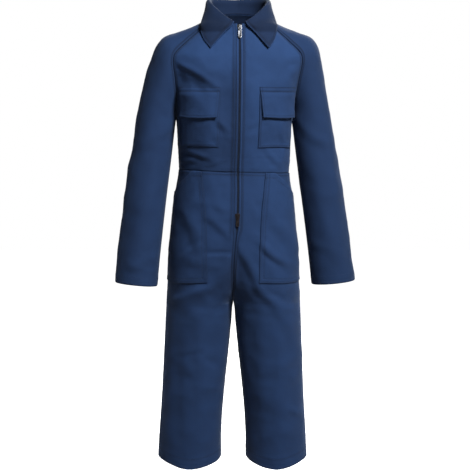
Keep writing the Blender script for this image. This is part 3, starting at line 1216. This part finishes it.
# The closed coil: loops of dark nylon from each side in turn.
coil_finish, _ = mottled("coil_nylon", 260.0, 2.0, (0.002, 0.004, 0.009), (0.005, 0.009, 0.019),
                         {"Roughness": 0.65, "Specular IOR Level": 0.08})
zip_line = (zip_front("left")[:, 0] + zip_front("right")[:, 0] * (-1, 1, 1)) / 2


def zip_frames(drops):
    """Places down the zip line, with the directions across it, up it and out of the cloth."""
    def at(wanted):
        across, out = (np.interp(wanted, -zip_line[:, 2], zip_line[:, axis]) for axis in (0, 1))
        return settle(np.stack((across, out, -wanted), axis=-1), 1)
    turn = np.radians(np.interp(drops, SETTLE_DROPS, SETTLE_VALUES["turn"]))
    side_on = np.stack((np.cos(turn), np.sin(turn), np.zeros_like(turn)), axis=-1)
    out = unit(np.cross(side_on, at(drops - 6) - at(drops + 6)))
    return at(drops), side_on, np.cross(out, side_on), out


COIL, COIL_FACES = ringed([(reach, radius, radius * 0.8, rise) for reach, radius, rise in (
    (-1.9, 0.40, -0.25), (-1.3, 0.5, 0.0), (0.3, 0.5, 0.0), (0.75, 0.62, -0.05), (1.0, 0.3, -0.2))])
loops = []
drops = np.arange(CHAIN_TOP + 10, CHAIN_BOTTOM - 30, COIL_PITCH / 2)
for count, (place, side_on, up, out) in enumerate(zip(*zip_frames(drops))):
    hand = 1 if count % 2 else -1
    loops.append((place + MM * (COIL[:, :1] * hand * side_on + COIL[:, 1:2] * up
                                + (COIL[:, 2:3] - CHAIN_SINK) * out), [face[::hand] for face in COIL_FACES]))
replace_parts(add_forms("zip_coils", loops, coil_finish), "zip_chain")

# Zip sliders. Small die-cast bodies that wrap the coils, with a bridge that carries the
# pull: the top one is nickel plated and the bottom one dark bronze. They stay as shown.
SLIDER_DROPS = {"top": 8.0, "bottom": 412.0}
SLIDER_SHIFTS = {"top": (0.0, 0.05, 0.0), "bottom": (-0.36, 0.39, -0.02)}


def plated_metal(name, dark, light, roughness):
    """Cast and plated metal with faint wear."""
    finish, wear = mottled(name, 320.0, 4.0, dark, light, {"Metallic": 1.0})
    rub = wire(finish, "MapRange", {"Value": wear, "To Min": roughness - 0.08, "To Max": roughness + 0.14})
    scratches = wire(finish, "Bump", {"Strength": 0.12, "Distance": 0.00005, "Height": wear})
    feed(finish, surface_of(finish), {"Roughness": rub.outputs["Result"],
                                      "Normal": scratches.outputs["Normal"]})
    return finish


metals = {"top": plated_metal("nickel_plate", (0.016, 0.017, 0.019), (0.10, 0.103, 0.110), 0.34),
          "bottom": plated_metal("dark_bronze_plate", (0.006, 0.0058, 0.007), (0.020, 0.017, 0.017), 0.46)}


def add_block(name, size, place):
    """Add a block of a size at a place, in millimetres, and work on it alone."""
    bpy.ops.object.select_all(action="DESELECT")
    bpy.ops.mesh.primitive_cube_add(size=1.0, location=Vector(place) * MM)
    block = bpy.context.active_object
    block.name = name
    block.scale = Vector(size) * MM
    bpy.ops.object.transform_apply(location=True, rotation=True, scale=True)
    return block


def shape_width(block, cuts, widths):
    """Cut a block across its length and give each cut its own width."""
    ends = [vertex.co.y / MM for vertex in block.data.vertices]
    for y in cuts:
        bpy.ops.object.mode_set(mode="EDIT")
        bpy.ops.mesh.select_all(action="SELECT")
        bpy.ops.mesh.bisect(plane_co=(0, y * MM, 0), plane_no=(0, 1, 0))
        bpy.ops.object.mode_set(mode="OBJECT")
    for vertex in block.data.vertices:
        vertex.co.x *= np.interp(vertex.co.y / MM, [min(ends), *cuts, max(ends)], widths)
    return block


def take_away(block, cutter):
    """Cut one block out of another."""
    cut = block.modifiers.new("cut", "BOOLEAN")
    cut.operation = "DIFFERENCE"
    cut.solver = "EXACT"
    cut.object = cutter
    pick(block)
    bpy.ops.object.modifier_apply(modifier="cut")
    bpy.data.objects.remove(cutter, do_unlink=True)


def fit_metal(piece, end, height, body, node):
    """Put a metal piece over its slider's place, and say which CAD node it stands for."""
    place, side_on, up, out = zip_frames(np.array([SLIDER_DROPS[end]]))
    seat = Matrix((side_on[0], up[0], out[0])).transposed().to_4x4()
    seat.translation = Vector(place[0]) + Vector(SLIDER_SHIFTS[end]) * MM
    pick(piece)
    bpy.ops.object.shade_smooth_by_angle(angle=math.radians(40))
    piece.data.transform(seat @ Matrix.Translation((0, 0, height * MM)))
    piece.data.materials.clear()
    piece.data.materials.append(metals[end])
    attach(piece, body)
    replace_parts(piece, node)


for end in ("top", "bottom"):
    name = "zip_slider_%s_metal" % end
    plate = shape_width(add_block(name, (11.0, 14.0, 1.3), (0, 0, 1.2)),
                        (-5.6, -3.0, 0.5, 3.6, 6.0), (0.66, 0.80, 0.86, 0.93, 1.0, 0.94, 0.62))
    soften(plate, 0.45)
    back = shape_width(add_block(name + "_back", (10.4, 13.0, 1.0), (0, 0, -2.6)),
                       (-5.0, 0.5, 3.6, 5.6), (0.64, 0.80, 0.94, 1.0, 0.92, 0.62))
    soften(back, 0.35)
    soften(add_block(name + "_neck", (2.2, 3.2, 3.6), (0, 4.4, -0.9)), 0.5)
    crown = add_block(name + "_crown", (2.0, 9.2, 3.9), (0, 0, 3.6))
    opening = add_block(name + "_opening", (4.0, 6.0, 3.4), (0, 0, 2.9))
    soften(opening, 1.2, segments=5)
    take_away(crown, opening)
    soften(crown, 0.5)
    for hand in (1, -1):
        rail = add_block("%s_rail_%d" % (name, hand > 0), (0.9, 6.4, 1.5), (hand * 4.55, 1.6, 0.35))
        soften(shape_width(rail, (0.5,), (1.0, 1.0, 1.0)), 0.3)
    bpy.ops.object.select_all(action="DESELECT")
    for part in list(bpy.context.scene.objects):
        part.select_set(part.name.startswith(name))
    bpy.context.view_layer.objects.active = plate
    bpy.ops.object.join()
    fit_metal(plate, end, 0.0, "garment", "zip_slider_" + end)

# Pull tabs. Stamped tabs whose eye goes round the slider's bridge, so they swing up and
# down on it.
PULL_LENGTHS = {"top": 27.0, "bottom": 22.0}
PULL_AXIS_HEIGHT = 3.25
for end, length in PULL_LENGTHS.items():
    name = "zip_pull_%s_metal" % end
    tab = shape_width(add_block(name, (7.8, length, 1.15), (0, -length / 2, 0)),
                      (-length + 1.0, -length + 3.0, -9.0, -5.0, -1.2),
                      (0.36, 0.79, 1.0, 1.0, 0.82, 0.82, 0.64))
    tab.data.transform(Matrix.Translation((0, 0.7 * MM, 0)))
    eye = add_block(name + "_eye", (3.6, 4.5, 4.0), (0, -2.95, 0))
    soften(eye, 0.7, segments=4)
    take_away(tab, eye)
    hollow = add_block(name + "_hollow", (4.6, length - 13.5, 0.5), (0, -(length + 6.2) / 2, 0.6))
    soften(hollow, 0.2)
    take_away(tab, hollow)
    soften(tab, 0.22, segments=2)
    fit_metal(tab, end, PULL_AXIS_HEIGHT, "pull_" + end, "zip_pull_" + end)
